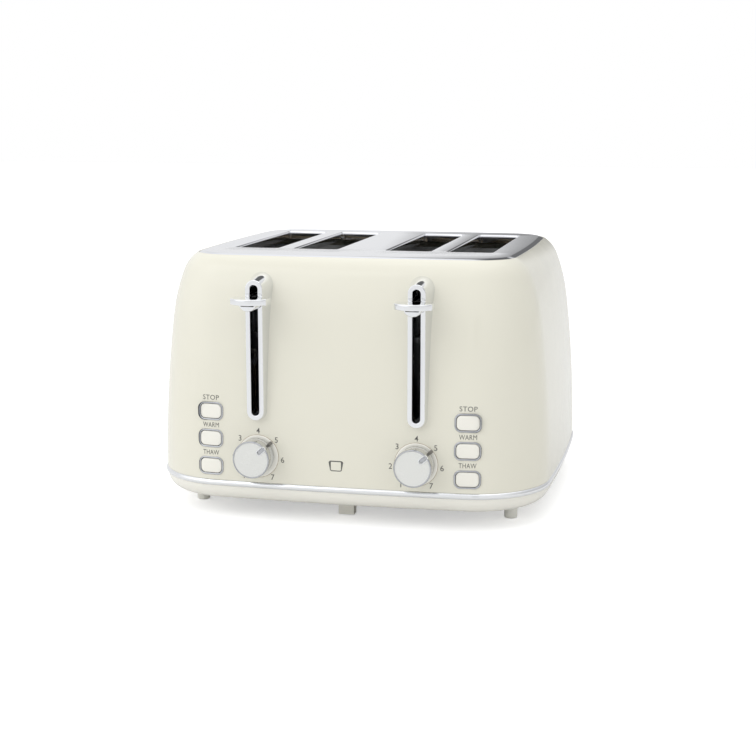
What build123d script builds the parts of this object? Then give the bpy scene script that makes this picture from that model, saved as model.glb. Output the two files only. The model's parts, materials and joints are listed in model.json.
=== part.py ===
"""Four-slice pop-up toaster, modelled as the separate pieces it is assembled from.

Millimetres. The origin is on the worktop under the middle of the body, -Y is the side with the
levers and dials, +X is the right-hand end seen from there, and +Z is up. Every piece is drawn where
it sits with the carriages up, the trays home and both dials at 5.
"""
from build123d import *
from math import atan2, cos, degrees, radians, sin, sqrt
import os

os.makedirs("parts", exist_ok=True)

# ---- driving dimensions -------------------------------------------------------------------------
# Plan outline of the body at its widest: four bulged sides joined by tangent corner arcs
HALF_WIDTH = 155.0
HALF_DEPTH = 146.0
CORNER_R = 61.0
SIDE_BULGE_R = 1818.0

# Heights
FLOOR_GAP = 14.5            # underside of the base above the worktop
BASE_FLOOR = 2.5            # thickness of the base moulding's floor
RING_BOTTOM = 25.4
RING_TOP = 30.2
PLATE_TOP = 199.2

# Insets from the plan outline
BASE_EDGE_INSET = 9.6
BASE_LIP_INSET = 1.8
SHELL_WALL = 0.9
SHELL_PROFILE = ((1.3, RING_TOP), (8.9, 150.0), (17.8, 185.0), (28.8, 198.2))
PLATE_EDGE_INSET = 29.6
PLATE_FLAT_INSET = 33.2
PLATE_BEVEL = 1.2
SHEET = 0.8

# Bread slots
SLOT_X = (37.0, 85.0)
SLOT_WIDTH = 34.0
SLOT_FRONT = -64.0
SLOT_REAR = 88.0
SLOT_CORNER = 4.0
SLOT_COLLAR = 7.0

# Lever side of the body
LEVER_X = 61.0
LEVER_SLOT_WIDTH = 6.0
LEVER_SLOT_LOW = 85.1       # centres of the slot's round ends
LEVER_SLOT_HIGH = 176.8
BEZEL_FRONT_Y = -147.6
BEZEL_WIDTH = 13.4
BEZEL_DRAFT = 10.5
BEZEL_WALL = 1.6
CARRIAGE_TRAVEL = 75.0

# Dials and buttons
DIAL_X = 61.0
DIAL_Z = 51.2
PLINTH_R = 16.2
KNOB_R = 14.2
KNOB_FACE_Y = -160.4
KNOB_REAR_Y = -145.6
KNOB_REST_ANGLE = 48.0      # clockwise from the top, at 5
BUTTON_X = 98.3
BUTTON_Z = (82.7, 61.9, 40.8)
BUTTON_NAMES = ("stop", "warm", "thaw")
BUTTON_RING = (20.0, 14.0, 5.0)
BUTTON_CAP = (17.0, 11.0, 3.7)
BUTTON_GAP = 0.2
BUTTON_TRAVEL = 1.5

# Chassis and mechanism, all set back from the front face
FRONT_PLATE_Y = -70.0
REAR_PLATE_Y = 94.0
CHASSIS_HALF_WIDTH = 118.0
CHASSIS_LOW = FLOOR_GAP + BASE_FLOOR
CHASSIS_HIGH = 187.0
ROD_Y = -104.0
ROD_R = 3.0
ROD_X = (41.0, 81.0)
ROD_FIT = 0.05
FLANGE_LOW = 29.0
BOARD_FRONT_Y = -118.0
BOARD_THICK = 1.6
SPRING_R = 4.6
SPRING_WIRE = 0.5

# Heating chambers
CARD_X = (15.0, 61.0, 109.0)
CARD_LOW, CARD_HIGH = 42.0, 172.0
GUARD_WIRE = 0.8
GUARD_STROKE = 4.0
GUARD_OFFSET = SLOT_WIDTH / 2 + 1.5
GUARD_RAILS = (46.0, 168.0)
LIFTER_WIDTH = 24.0
LIFTER_REST = 115.0

# Crumb trays
TRAY_X = (12.0, 111.0)
TRAY_FRONT = -66.0
TRAY_TRAVEL = 200.0
TRAY_FLOOR = CHASSIS_LOW + 0.4
TRAY_WALL = 5.6
TRAY_SHEET = 0.6

# Feet, screws and the cord's way in
FOOT_X, FOOT_Y, FOOT_R = 123.5, 90.0, 5.0
SCREW_X, SCREW_Y = 123.0, (-50.0, 70.0)
CLEAT_HALF, CLEAT_Y, CLEAT_LOW = 6.1, 114.0, 1.0
GLAND_Z = 48.0
GLAND_BORE_R = 3.6
GLAND_HOLE_R = 6.5


# ---- helpers ------------------------------------------------------------------------------------
def corner_centre():
    """Centre of the plan's corner arc, tangent inside the front arc and the end arc."""
    x, y = HALF_WIDTH - CORNER_R, HALF_DEPTH - CORNER_R
    reach = SIDE_BULGE_R - CORNER_R
    for _ in range(20):
        x = HALF_WIDTH - SIDE_BULGE_R + sqrt(reach**2 - y**2)
        y = HALF_DEPTH - SIDE_BULGE_R + sqrt(reach**2 - x**2)
    return x, y


def plan_segments():
    """The eight arcs of the plan outline as (centre x, centre y, radius, start angle, span)."""
    x, y = corner_centre()
    long_x, long_y = HALF_WIDTH - SIDE_BULGE_R, HALF_DEPTH - SIDE_BULGE_R
    front = degrees(atan2(x, y - long_y))
    end = degrees(atan2(y, x - long_x))
    turn = 90 - front - end
    return [
        (0, -long_y, SIDE_BULGE_R, -90 - front, 2 * front),
        (x, -y, CORNER_R, -90 + front, turn),
        (long_x, 0, SIDE_BULGE_R, -end, 2 * end),
        (x, y, CORNER_R, end, turn),
        (0, long_y, SIDE_BULGE_R, 90 - front, 2 * front),
        (-x, y, CORNER_R, 90 + front, turn),
        (-long_x, 0, SIDE_BULGE_R, 180 - end, 2 * end),
        (-x, -y, CORNER_R, 180 + end, turn),
    ]


def band_pieces(profile):
    """Carry a profile drawn in (-inset, z) round the plan outline, one piece for each of its arcs."""
    pieces = []
    for x, y, radius, start, span in plan_segments():
        along, across = cos(radians(start)), sin(radians(start))
        plane = Plane(origin=(x, y, 0), x_dir=(along, across, 0), z_dir=(across, -along, 0))
        section = plane * (Pos(radius, 0, 0) * profile)
        pieces.append(revolve(section, Axis((x, y, 0), (0, 0, 1)), span))
    return pieces


def band(profile):
    """The whole band round the plan outline, in one piece."""
    pieces = band_pieces(profile)
    return pieces[0].fuse(*pieces[1:]).clean()


def plan_face(inset, z):
    """The plan outline as a face, set in by a distance and lifted to a height."""
    arcs = [CenterArc((x, y), radius - inset, start, span) for x, y, radius, start, span in plan_segments()]
    return Pos(0, 0, z) * make_face(arcs)


def polygon(points):
    return make_face(Polyline(*points, close=True))


def tangent_chain(points):
    """Arcs through points given as (inset, z), each tangent to the last, the first one upright."""
    arcs = []
    tangents = [Vector(0, 1)]
    places = [Vector(-inset, z) for inset, z in points]
    for low, high in zip(places, places[1:]):
        arcs.append(TangentArc(low, high, tangent=tangents[-1]))
        tangents.append(arcs[-1] % 1)
    return arcs, tangents, places


def skin_section(outer, inner):
    """The section between two depths behind the shell's outer surface."""
    _, tangents, places = tangent_chain(SHELL_PROFILE)

    def at_depth(depth):
        ends = [p + Vector(-t.Y, t.X) * depth for p, t in zip(places, tangents)]
        arcs = [TangentArc(a, b, tangent=t) for a, b, t in zip(ends, ends[1:], tangents)]
        return ends, arcs

    outer_ends, outer_arcs = at_depth(outer)
    inner_ends, inner_arcs = at_depth(inner)
    caps = [Line(outer_ends[0], inner_ends[0]), Line(outer_ends[-1], inner_ends[-1])]
    return make_face(outer_arcs + inner_arcs + caps)


def behind_shell(depth, inner=44.0):
    """Everything within the body's edge zone that lies deeper than a depth behind the shell's face."""
    _, tangents, places = tangent_chain(SHELL_PROFILE)
    ends = [p + Vector(-t.Y, t.X) * depth for p, t in zip(places, tangents)]
    arcs = [TangentArc(a, b, tangent=t) for a, b, t in zip(ends, ends[1:], tangents)]
    corner_low, corner_high = Vector(-inner, ends[0].Y), Vector(-inner, ends[-1].Y)
    rest = Polyline(ends[0], corner_low, corner_high, ends[-1])
    return band(make_face(arcs + rest.edges()))


def block(x, y, z):
    """A box from (low, high) pairs."""
    size = [high - low for low, high in (x, y, z)]
    middle = [(high + low) / 2 for low, high in (x, y, z)]
    return Pos(*middle) * Box(*size)


def pillar(x, y, z, radius):
    """A round bar along Z, from z[0] to z[1]."""
    return Pos(x, y, (z[0] + z[1]) / 2) * Cylinder(radius, z[1] - z[0])


def spindle(x, y, z, radius):
    """A round bar along Y, from y[0] to y[1]."""
    return Pos(x, (y[0] + y[1]) / 2, z) * Rot(90, 0, 0) * Cylinder(radius, y[1] - y[0])


def crossbar(x, y, z, radius):
    """A round bar along X, from x[0] to x[1]."""
    return Pos((x[0] + x[1]) / 2, y, z) * Rot(0, 90, 0) * Cylinder(radius, x[1] - x[0])


def front_plane(x, y, z):
    """A drawing plane facing the user: its local y is up and it extrudes towards +Y."""
    return Plane(origin=(x, y, z), x_dir=(-1, 0, 0), z_dir=(0, 1, 0))


def pad_prism(x, z, size, y_range):
    """A rounded rectangle (width, height, corner) carried along Y."""
    width, height, corner = size
    face = front_plane(x, y_range[0], z) * RectangleRounded(width, height, corner)
    return extrude(face, y_range[1] - y_range[0], dir=(0, 1, 0))


def stadium_face(x, y, low, high, width):
    """An upright slot outline whose round ends are centred at two heights."""
    length = high - low
    outline = Rot(0, 0, 90) * SlotCenterToCenter(length, width)
    return front_plane(x, y, (low + high) / 2) * outline


def stadium_prism(x, low, high, width, y_range):
    face = stadium_face(x, y_range[0], low, high, width)
    return extrude(face, y_range[1] - y_range[0], dir=(0, 1, 0))


def other_side(part):
    return mirror(part, about=Plane.YZ)


def group(parts):
    """Separate solids that share one node."""
    return Compound(children=[solid for part in parts for solid in part.solids()])


def save(name, part):
    solids = part.solids()
    shape = solids[0] if len(solids) == 1 else Compound(children=solids)
    export_step(shape, f"parts/{name}.step")


def save_pair(name, part):
    """Write the right-hand piece and its mirror image."""
    save(f"{name}_right", part)
    save(f"{name}_left", other_side(part))


# ---- outer housing ------------------------------------------------------------------------------
def shell_openings():
    """What is cut through the front of the shell, on the right-hand side."""
    through = (-160, -120)
    cuts = [stadium_prism(LEVER_X, LEVER_SLOT_LOW, LEVER_SLOT_HIGH, LEVER_SLOT_WIDTH + 4.2, through)]
    cuts.append(spindle(DIAL_X, through, DIAL_Z, PLINTH_R))
    for z in BUTTON_Z:
        cuts.append(pad_prism(BUTTON_X, z, BUTTON_RING, through))
    return cuts


def body_shell():
    """Eight pressed panels, front, rear, ends and corners, that meet edge to edge."""
    cuts = shell_openings()
    cuts += [other_side(cut) for cut in cuts]
    cuts.append(spindle(0, (120, 160), GLAND_Z, GLAND_HOLE_R))
    panels = band_pieces(skin_section(0, SHELL_WALL))
    for number, panel in enumerate(panels):
        for cut in cuts:
            panel -= cut
        panels[number] = panel
    return group(panels)


def trim_ring():
    bow = ThreePointArc((-1.7, RING_BOTTOM), (0, (RING_BOTTOM + RING_TOP) / 2), (-1.7, RING_TOP))
    back = Polyline((-1.7, RING_TOP), (-4.0, RING_TOP), (-4.0, RING_BOTTOM), (-1.7, RING_BOTTOM))
    return band(make_face([bow] + back.edges()))


def base_moulding():
    outer = TangentArc((-BASE_LIP_INSET, RING_BOTTOM), (-BASE_EDGE_INSET, FLOOR_GAP), tangent=(0, -1))
    top = [
        (-BASE_EDGE_INSET, FLOOR_GAP),
        (-14.0, FLOOR_GAP),
        (-14.0, CHASSIS_LOW),
        (-11.0, CHASSIS_LOW),
        (-6.4, 24.0),
        (-6.4, 36.0),
        (-4.2, 36.0),
        (-4.2, RING_BOTTOM),
        (-BASE_LIP_INSET, RING_BOTTOM),
    ]
    wall = band(make_face([outer] + Polyline(*top).edges()))
    floor = extrude(plan_face(14.0, FLOOR_GAP), BASE_FLOOR, dir=(0, 0, 1))
    front_cleat = block((-CLEAT_HALF, CLEAT_HALF), (-CLEAT_Y, 8 - CLEAT_Y), (CLEAT_LOW, FLOOR_GAP))
    base = wall.fuse(floor).fuse(front_cleat, mirror(front_cleat, about=Plane.XZ)).clean()
    for side in (-1, 1):
        near, far = sorted((side * (TRAY_X[0] - 0.5), side * (TRAY_X[1] + 0.5)))
        base -= block((near, far), (100, 160), (CHASSIS_LOW, RING_BOTTOM - 0.9))
        for foot_y in (-FOOT_Y, FOOT_Y):
            base -= pillar(side * FOOT_X, foot_y, (FLOOR_GAP, CHASSIS_LOW), 2.5)
        for screw_y in SCREW_Y:
            base -= pillar(side * SCREW_X, screw_y, (FLOOR_GAP, CHASSIS_LOW), 1.6)
            base -= pillar(side * SCREW_X, screw_y, (FLOOR_GAP, FLOOR_GAP + 1.6), 3.2)
    for side in (-1, 1):
        near, far = sorted((side * 38, side * 112))
        base -= block((near, far), (-150, -120), (31.4, 40))
    for row in range(6):
        for side in (-1, 1):
            vent = Pos(side * 62, -118 + 7 * row, 0) * Box(60, 3, 60)
            base -= vent
    return base


def top_plate():
    bevel = polygon([
        (-PLATE_EDGE_INSET, PLATE_TOP - PLATE_BEVEL),
        (-PLATE_FLAT_INSET, PLATE_TOP),
        (-PLATE_FLAT_INSET - 1.0, PLATE_TOP),
        (-PLATE_FLAT_INSET - 1.0, PLATE_TOP - SHEET),
        (-PLATE_FLAT_INSET, PLATE_TOP - SHEET),
        (-PLATE_EDGE_INSET, PLATE_TOP - PLATE_BEVEL - SHEET),
    ])
    flat = extrude(plan_face(PLATE_FLAT_INSET + 1.0, PLATE_TOP - SHEET), SHEET, dir=(0, 0, 1))
    plate = band(bevel).fuse(flat).clean()
    length = SLOT_REAR - SLOT_FRONT
    middle = (SLOT_REAR + SLOT_FRONT) / 2
    for x in SLOT_X:
        for side in (-1, 1):
            inner = RectangleRounded(SLOT_WIDTH, length, SLOT_CORNER)
            outer = RectangleRounded(SLOT_WIDTH + 2 * SHEET, length + 2 * SHEET, SLOT_CORNER + SHEET)
            place = Pos(side * x, middle, PLATE_TOP - SLOT_COLLAR)
            plate = plate.fuse(extrude(place * outer, SLOT_COLLAR, dir=(0, 0, 1)))
            plate -= extrude(place * inner, SLOT_COLLAR + 1, dir=(0, 0, 1))
    return plate.clean()


def rubber_feet():
    feet = []
    for x in (-FOOT_X, FOOT_X):
        for y in (-FOOT_Y, FOOT_Y):
            foot = pillar(x, y, (0, FLOOR_GAP), FOOT_R)
            foot = fillet(foot.edges().group_by(Axis.Z)[0], 1.2)
            feet.append(foot + pillar(x, y, (FLOOR_GAP, CHASSIS_LOW), 2.5))
    return group(feet)


def base_screws():
    screws = []
    for x in (-SCREW_X, SCREW_X):
        for y in SCREW_Y:
            head = pillar(x, y, (FLOOR_GAP + 0.1, FLOOR_GAP + 1.6), 2.9)
            head -= Pos(x, y, FLOOR_GAP) * Box(4.2, 0.8, 1.4) + Pos(x, y, FLOOR_GAP) * Box(0.8, 4.2, 1.4)
            screws.append(head + pillar(x, y, (FLOOR_GAP + 1.6, 24.0), 1.5))
    return group(screws)


# ---- front controls -----------------------------------------------------------------------------
def lever_bezel():
    """Chrome hood round the lever's slot: an upright face that stands out as the shell leans back."""
    low, high = LEVER_SLOT_LOW, LEVER_SLOT_HIGH
    depth = 34.0
    face = stadium_face(LEVER_X, BEZEL_FRONT_Y, low, high, BEZEL_WIDTH)
    hood = extrude(face, depth, dir=(0, 1, 0), taper=-BEZEL_DRAFT)
    inside = stadium_face(LEVER_X, BEZEL_FRONT_Y + BEZEL_WALL, low, high, BEZEL_WIDTH - 2 * BEZEL_WALL)
    hollow = extrude(inside, depth, dir=(0, 1, 0), taper=-BEZEL_DRAFT)
    hood = (hood - hollow) - behind_shell(0)
    collar_back = -118.0
    collar = stadium_prism(LEVER_X, low, high, LEVER_SLOT_WIDTH + 4.0, (BEZEL_FRONT_Y, collar_back))
    collar = collar - behind_shell(SHELL_WALL + 2.2)
    bezel = hood + collar
    bezel -= stadium_prism(LEVER_X, low, high, LEVER_SLOT_WIDTH, (BEZEL_FRONT_Y - 1, collar_back + 1))
    return bezel


def lever_handle():
    z_low = 166.8
    thick = 4.6
    half = 14.4
    back, shoulder, tip = BEZEL_FRONT_Y - 1.9, -159.5, -167.6
    edge = Polyline((half, shoulder), (half, back), (-half, back), (-half, shoulder))
    front = ThreePointArc((-half, shoulder), (0, tip), (half, shoulder))
    paddle = extrude(make_face(edge.edges() + [front]), thick, dir=(0, 0, 1))
    paddle = fillet(paddle.edges().filter_by(Axis.Z), 2.2)
    paddle = fillet(paddle.faces().sort_by(Axis.Z)[-1].edges(), 0.7)
    boss = spindle(0, (-163.0, back), z_low + 2, 7.0)
    boss = boss & block((-9, 9), (-170, -140), (z_low - 8, z_low + 1))
    return Pos(LEVER_X, 0, z_low) * paddle + Pos(LEVER_X, 0, 0) * boss


def dial_plinth():
    disc = spindle(DIAL_X, (-152, -140.9), DIAL_Z, PLINTH_R) - band_front_trim(-1.0)
    disc += spindle(DIAL_X, (-140.9, -139.4), DIAL_Z, PLINTH_R + 2)
    return disc - spindle(DIAL_X, (-152, -139), DIAL_Z, 5.2)


def band_front_trim(depth):
    """What lies in front of a surface parallel to the shell's face, to trim a part to its shape."""
    _, tangents, places = tangent_chain(SHELL_PROFILE[:2])
    ends = [p + Vector(-t.Y, t.X) * depth for p, t in zip(places, tangents)]
    arc = TangentArc(ends[0], ends[1], tangent=tangents[0])
    rest = Polyline(ends[1], Vector(30, ends[1].Y), Vector(30, ends[0].Y), ends[0])
    return band(make_face([arc] + rest.edges()))


def knob():
    front, rear = KNOB_FACE_Y, KNOB_REAR_Y
    body = spindle(DIAL_X, (front, rear), DIAL_Z, KNOB_R - 1.0)
    body -= spindle(DIAL_X, (front + 2.4, rear), DIAL_Z, KNOB_R - 2.8)
    body += spindle(DIAL_X, (front + 2.4, -136.0), DIAL_Z, 4.7)
    body -= spindle(DIAL_X, (front + 3.4, -136.0), DIAL_Z, 3.0)
    notch = Pos(DIAL_X, front, DIAL_Z) * Rot(0, KNOB_REST_ANGLE, 0) * Pos(0, 0, KNOB_R - 3.4) * Box(3.4, 2.0, 6.0)
    return body - notch


def knob_ring():
    front, rear = KNOB_FACE_Y - 0.4, KNOB_REAR_Y
    ring = spindle(DIAL_X, (front, rear), DIAL_Z, KNOB_R)
    ring = fillet(ring.edges().sort_by(Axis.Y)[0], 0.4)
    return ring - spindle(DIAL_X, (front - 1, rear), DIAL_Z, KNOB_R - 1.0)


def pot_shaft():
    return spindle(DIAL_X, (KNOB_FACE_Y + 3.4, -121.0), DIAL_Z, 3.0)


def pot_housing():
    can = spindle(DIAL_X, (-129, BOARD_FRONT_Y), DIAL_Z, 8.5)
    bush = spindle(DIAL_X, (-135, -129), DIAL_Z, 4.6)
    return can + bush - spindle(DIAL_X, (-136, -120.6), DIAL_Z, 3.0 + ROD_FIT)


def button_ring(z):
    ring = pad_prism(BUTTON_X, z, BUTTON_RING, (-150, -134))
    ring -= band_front_trim(-0.8)
    width, height, corner = BUTTON_CAP
    bore = (width + 2 * BUTTON_GAP, height + 2 * BUTTON_GAP, corner + BUTTON_GAP)
    ring -= pad_prism(BUTTON_X, z, bore, (-151, -133))
    return ring


def button(z):
    cap = pad_prism(BUTTON_X, z, BUTTON_CAP, (-150, -134)) - band_front_trim(-0.5)
    return cap + spindle(BUTTON_X, (-134, BOARD_FRONT_Y - 5.5 - BUTTON_TRAVEL - 0.1), z, 2.4)


def tact_switches():
    switches = []
    for z in BUTTON_Z:
        case = Pos(BUTTON_X, BOARD_FRONT_Y - 2, z) * Box(6.2, 4, 6.2)
        switches.append(case + spindle(BUTTON_X, (BOARD_FRONT_Y - 5.5, BOARD_FRONT_Y - 4), z, 1.75))
    return group(switches + [other_side(switch) for switch in switches])


# ---- mechanism ----------------------------------------------------------------------------------
def guide_rods():
    return group([
        pillar(side * x, ROD_Y, (FLANGE_LOW, CHASSIS_HIGH), ROD_R) for side in (-1, 1) for x in ROD_X
    ])


def carriage():
    low, high = 138.0, 162.0
    arm_low, arm_high = 163.5, 171.2
    left, right = SLOT_X[0] - 6, SLOT_X[1] + 6
    part = block((left, right), (-98.0, -96.5), (low, high))
    part += block((LEVER_X - 8, LEVER_X + 8), (-98.0, -96.5), (low, arm_high))
    part += block((LEVER_X - 8, LEVER_X + 8), (-112.0, -98.0), (low, low + 1.5))
    part += block((LEVER_X - 1.6, LEVER_X + 1.6), (BEZEL_FRONT_Y - 1.9, -98.0), (arm_low, arm_high))
    for x in ROD_X:
        part += pillar(x, ROD_Y, (low, high), 5.6)
        part += block((x - 5.6, x + 5.6), (ROD_Y, -97.0), (low, high))
    for x in ROD_X:
        part -= pillar(x, ROD_Y, (low - 1, high + 1), ROD_R + ROD_FIT)
    return part


def keeper():
    """Steel plate under the carriage that the electromagnet holds down."""
    return block((LEVER_X - 8, LEVER_X + 8), (-111.0, -99.0), (135.3, 138.0))


def electromagnet():
    base_z = FLANGE_LOW + 1.0
    top = 138.0 - CARRIAGE_TRAVEL - 3.0
    core = block((LEVER_X - 7.5, LEVER_X - 3.5), (-109, -101), (base_z, top))
    core += block((LEVER_X + 3.5, LEVER_X + 7.5), (-109, -101), (base_z, top))
    core += block((LEVER_X - 7.5, LEVER_X + 7.5), (-109, -101), (base_z, base_z + 4))
    coil = block((LEVER_X - 9.5, LEVER_X + 9.5), (-111, -99), (base_z + 6, top - 3))
    return core + coil


def return_spring():
    """Compression spring on the outer rod, between the lower flange and the carriage."""
    low, high = FLANGE_LOW + 1.0 + SPRING_WIRE, 138.0 - SPRING_WIRE
    turns = 13
    helix = Pos(ROD_X[1], ROD_Y, low) * Helix((high - low) / turns, high - low, SPRING_R)
    section = Plane(helix @ 0, z_dir=helix % 0) * Circle(SPRING_WIRE)
    return sweep(section, path=helix)


def lifter(x):
    """Bread shelf with the tongue that carries it through the chassis to the carriage."""
    top = LIFTER_REST
    shelf = block((x - LIFTER_WIDTH / 2, x + LIFTER_WIDTH / 2), (-58, 82), (top - 1.2, top))
    for side in (-1, 1):
        edge = x + side * (LIFTER_WIDTH / 2 - 0.6)
        shelf += block((edge - 0.6, edge + 0.6), (-58, 82), (top - 5, top - 1.2))
    for y in (-40, -16, 8, 32, 56):
        shelf -= block((x - 7, x + 7), (y, y + 8), (top - 2, top + 1))
    tongue = block((x - 0.75, x + 0.75), (-90, -50), (top - 8, top - 1.2))
    riser = block((x - 0.75, x + 0.75), (-96.5, -84), (top - 8, 150))
    return shelf + tongue + riser


def control_board():
    outline = [(20, 33), (117, 33), (117, 94), (78, 94), (78, 74), (20, 74)]
    plane = Plane(origin=(0, BOARD_FRONT_Y, 0), x_dir=(1, 0, 0), z_dir=(0, -1, 0))
    board = extrude(plane * polygon(outline), BOARD_THICK, dir=(0, 1, 0))
    board -= spindle(DIAL_X, (-120, -110), DIAL_Z, 3.2)
    return board


def board_posts():
    posts = []
    for side in (-1, 1):
        for x, z in ((26, 40), (112, 40), (112, 86)):
            posts.append(spindle(side * x, (BOARD_FRONT_Y + BOARD_THICK, FRONT_PLATE_Y - 1), z, 3.0))
    return group(posts)


# ---- heating chambers ---------------------------------------------------------------------------
def guard_rail_slots(y_range):
    """Slots in a chassis plate that let the guards' rails move sideways."""
    cuts = []
    for x in SLOT_X:
        for z in GUARD_RAILS:
            for side in (-1, 1):
                start, stop = sorted((x + side * GUARD_OFFSET, x + side * (GUARD_OFFSET - GUARD_STROKE)))
                cuts.append(block((start - 1.3, stop + 1.3), y_range, (z - 1.3, z + 1.3)))
    return cuts


def chassis_front_plate():
    y_range = (FRONT_PLATE_Y - 1, FRONT_PLATE_Y)
    wide = (-CHASSIS_HALF_WIDTH, CHASSIS_HALF_WIDTH)
    plate = block(wide, y_range, (CHASSIS_LOW, CHASSIS_HIGH))
    for side in (-1, 1):
        near, far = sorted((side * 31, side * 91))
        plate += block((near, far), (-113.5, FRONT_PLATE_Y - 1), (FLANGE_LOW, FLANGE_LOW + 1))
        plate += block((near, far), (-113.5, FRONT_PLATE_Y - 1), (CHASSIS_HIGH - 1, CHASSIS_HIGH))
        for x in ROD_X:
            plate -= pillar(side * x, ROD_Y, (FLANGE_LOW - 1, CHASSIS_HIGH + 1), ROD_R)
    cuts = guard_rail_slots((y_range[0] - 1, y_range[1] + 1))
    for x in SLOT_X:
        cuts.append(block((x - 2, x + 2), (y_range[0] - 0.5, y_range[1] + 1), (28.9, LIFTER_REST + 4)))
    for cut in cuts:
        plate -= cut
        plate -= other_side(cut)
    return plate - spindle(0, (y_range[0] - 1, y_range[1] + 1), GLAND_Z, 4.2)


def chassis_rear_plate():
    y_range = (REAR_PLATE_Y, REAR_PLATE_Y + 1)
    wide = (-CHASSIS_HALF_WIDTH, CHASSIS_HALF_WIDTH)
    plate = block(wide, y_range, (CHASSIS_LOW, CHASSIS_HIGH))
    cuts = guard_rail_slots((y_range[0] - 1, y_range[1] + 1))
    cuts.append(block((TRAY_X[0] - 2, TRAY_X[1] + 1.5), (y_range[0] - 1, y_range[1] + 1), (10, 26)))
    for cut in cuts:
        plate -= cut
        plate -= other_side(cut)
    return plate - spindle(0, (y_range[0] - 1, y_range[1] + 1), GLAND_Z, 4.2)


def side_shield():
    """Outer heat shield, with the foot that the base screws go into."""
    x = CHASSIS_HALF_WIDTH
    y_range = (FRONT_PLATE_Y, REAR_PLATE_Y)
    shield = block((x - 1, x), y_range, (CHASSIS_LOW, CHASSIS_HIGH))
    shield += block((x, x + 9), (SCREW_Y[0] - 8, SCREW_Y[1] + 8), (CHASSIS_LOW, CHASSIS_LOW + 1))
    for y in SCREW_Y:
        shield -= pillar(SCREW_X, y, (CHASSIS_LOW - 1, CHASSIS_LOW + 2), 1.5)
    return shield


def centre_shield():
    """Open box between the two halves, which keeps the heat off the lead that runs through it."""
    y_range = (FRONT_PLATE_Y, REAR_PLATE_Y)
    part = block((-8, 8), y_range, (36, 180)) - block((-7.2, 7.2), (y_range[0] - 1, y_range[1] + 1), (30, 179.2))
    return part


def mica_cards():
    cards = []
    for side in (-1, 1):
        for x in CARD_X:
            card = block((side * x - 0.25, side * x + 0.25), (FRONT_PLATE_Y, REAR_PLATE_Y), (CARD_LOW, CARD_HIGH))
            for y in (-62, 84):
                card -= crossbar((side * x - 1, side * x + 1), y, 165, 2)
            cards.append(card)
    return group(cards)


def heating_ribbons():
    """Flat resistance ribbon, lying on both faces of each card in level runs."""
    ribbons = []
    for side in (-1, 1):
        for x in CARD_X:
            for face in (-1, 1):
                centre = side * x + face * 0.4
                spine = block((centre - 0.15, centre + 0.15), (-52, -50.6), (52, 161.2))
                for row in range(14):
                    z = 52 + 8.4 * row
                    spine = spine + block((centre - 0.15, centre + 0.15), (-52, 76), (z, z + 1.6))
                ribbons.append(spine)
    return group(ribbons)


def guard_grid(x):
    """One upright wire grid, standing on two rails that run through the chassis plates."""
    wires = [spindle(x, (FRONT_PLATE_Y - 3, REAR_PLATE_Y + 3), z, GUARD_WIRE + 0.1) for z in GUARD_RAILS]
    for column in range(9):
        wires.append(pillar(x, -56 + 17 * column, GUARD_RAILS, GUARD_WIRE))
    return wires[0].fuse(*wires[1:])


def bread_guards(direction):
    """The grids on one side of both slots of the right-hand half, which close in together."""
    return group([guard_grid(x - direction * GUARD_OFFSET) for x in SLOT_X])


# ---- crumb trays and mains inlet ----------------------------------------------------------------
def crumb_tray():
    near, far = TRAY_X
    rear = 128.0
    tray = block((near, far), (TRAY_FRONT, rear), (TRAY_FLOOR, TRAY_FLOOR + TRAY_WALL))
    inner_x = (near + TRAY_SHEET, far - TRAY_SHEET)
    inner_y = (TRAY_FRONT + TRAY_SHEET, rear - TRAY_SHEET)
    return tray - block(inner_x, inner_y, (TRAY_FLOOR + TRAY_SHEET, TRAY_FLOOR + TRAY_WALL + 1))


def tray_handle():
    """Rear grip, trimmed to carry on the base's own curve across the tray's opening."""
    near, far = TRAY_X
    front_face = TangentArc((-BASE_LIP_INSET - 0.1, RING_BOTTOM), (-BASE_EDGE_INSET - 0.1, FLOOR_GAP), tangent=(0, -1))
    back = Polyline(front_face @ 1, (-30, FLOOR_GAP), (-30, RING_BOTTOM), front_face @ 0)
    curve = band(make_face([front_face] + back.edges()))
    grip = curve & block((near, far), (128.0, 160), (CHASSIS_LOW + 0.4, RING_BOTTOM - 1.4))
    finger = Pos((near + far) / 2, 150, CHASSIS_LOW) * Box(34, 30, 6)
    return grip - finger


def cord_gland():
    """Rubber bush in the back of the shell; its bore takes a supply lead."""
    gland = spindle(0, (130.0, 147.4), GLAND_Z, 6.5)
    gland += spindle(0, (145.2, 147.4), GLAND_Z, 9.0)
    gland += spindle(0, (139.0, 142.8), GLAND_Z, 9.0)
    return gland - spindle(0, (129, 148), GLAND_Z, GLAND_BORE_R)


def mains_lead():
    """Inner length of lead, from behind the gland through the centre shield to the terminals."""
    return spindle(0, (-78.0, 129.0), GLAND_Z, 3.5)


def terminal_block():
    body = block((-11, 11), (-94, -78), (40, 56))
    for x in (-5.5, 5.5):
        body -= pillar(x, -86, (51, 57), 2.4)
    return body


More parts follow.
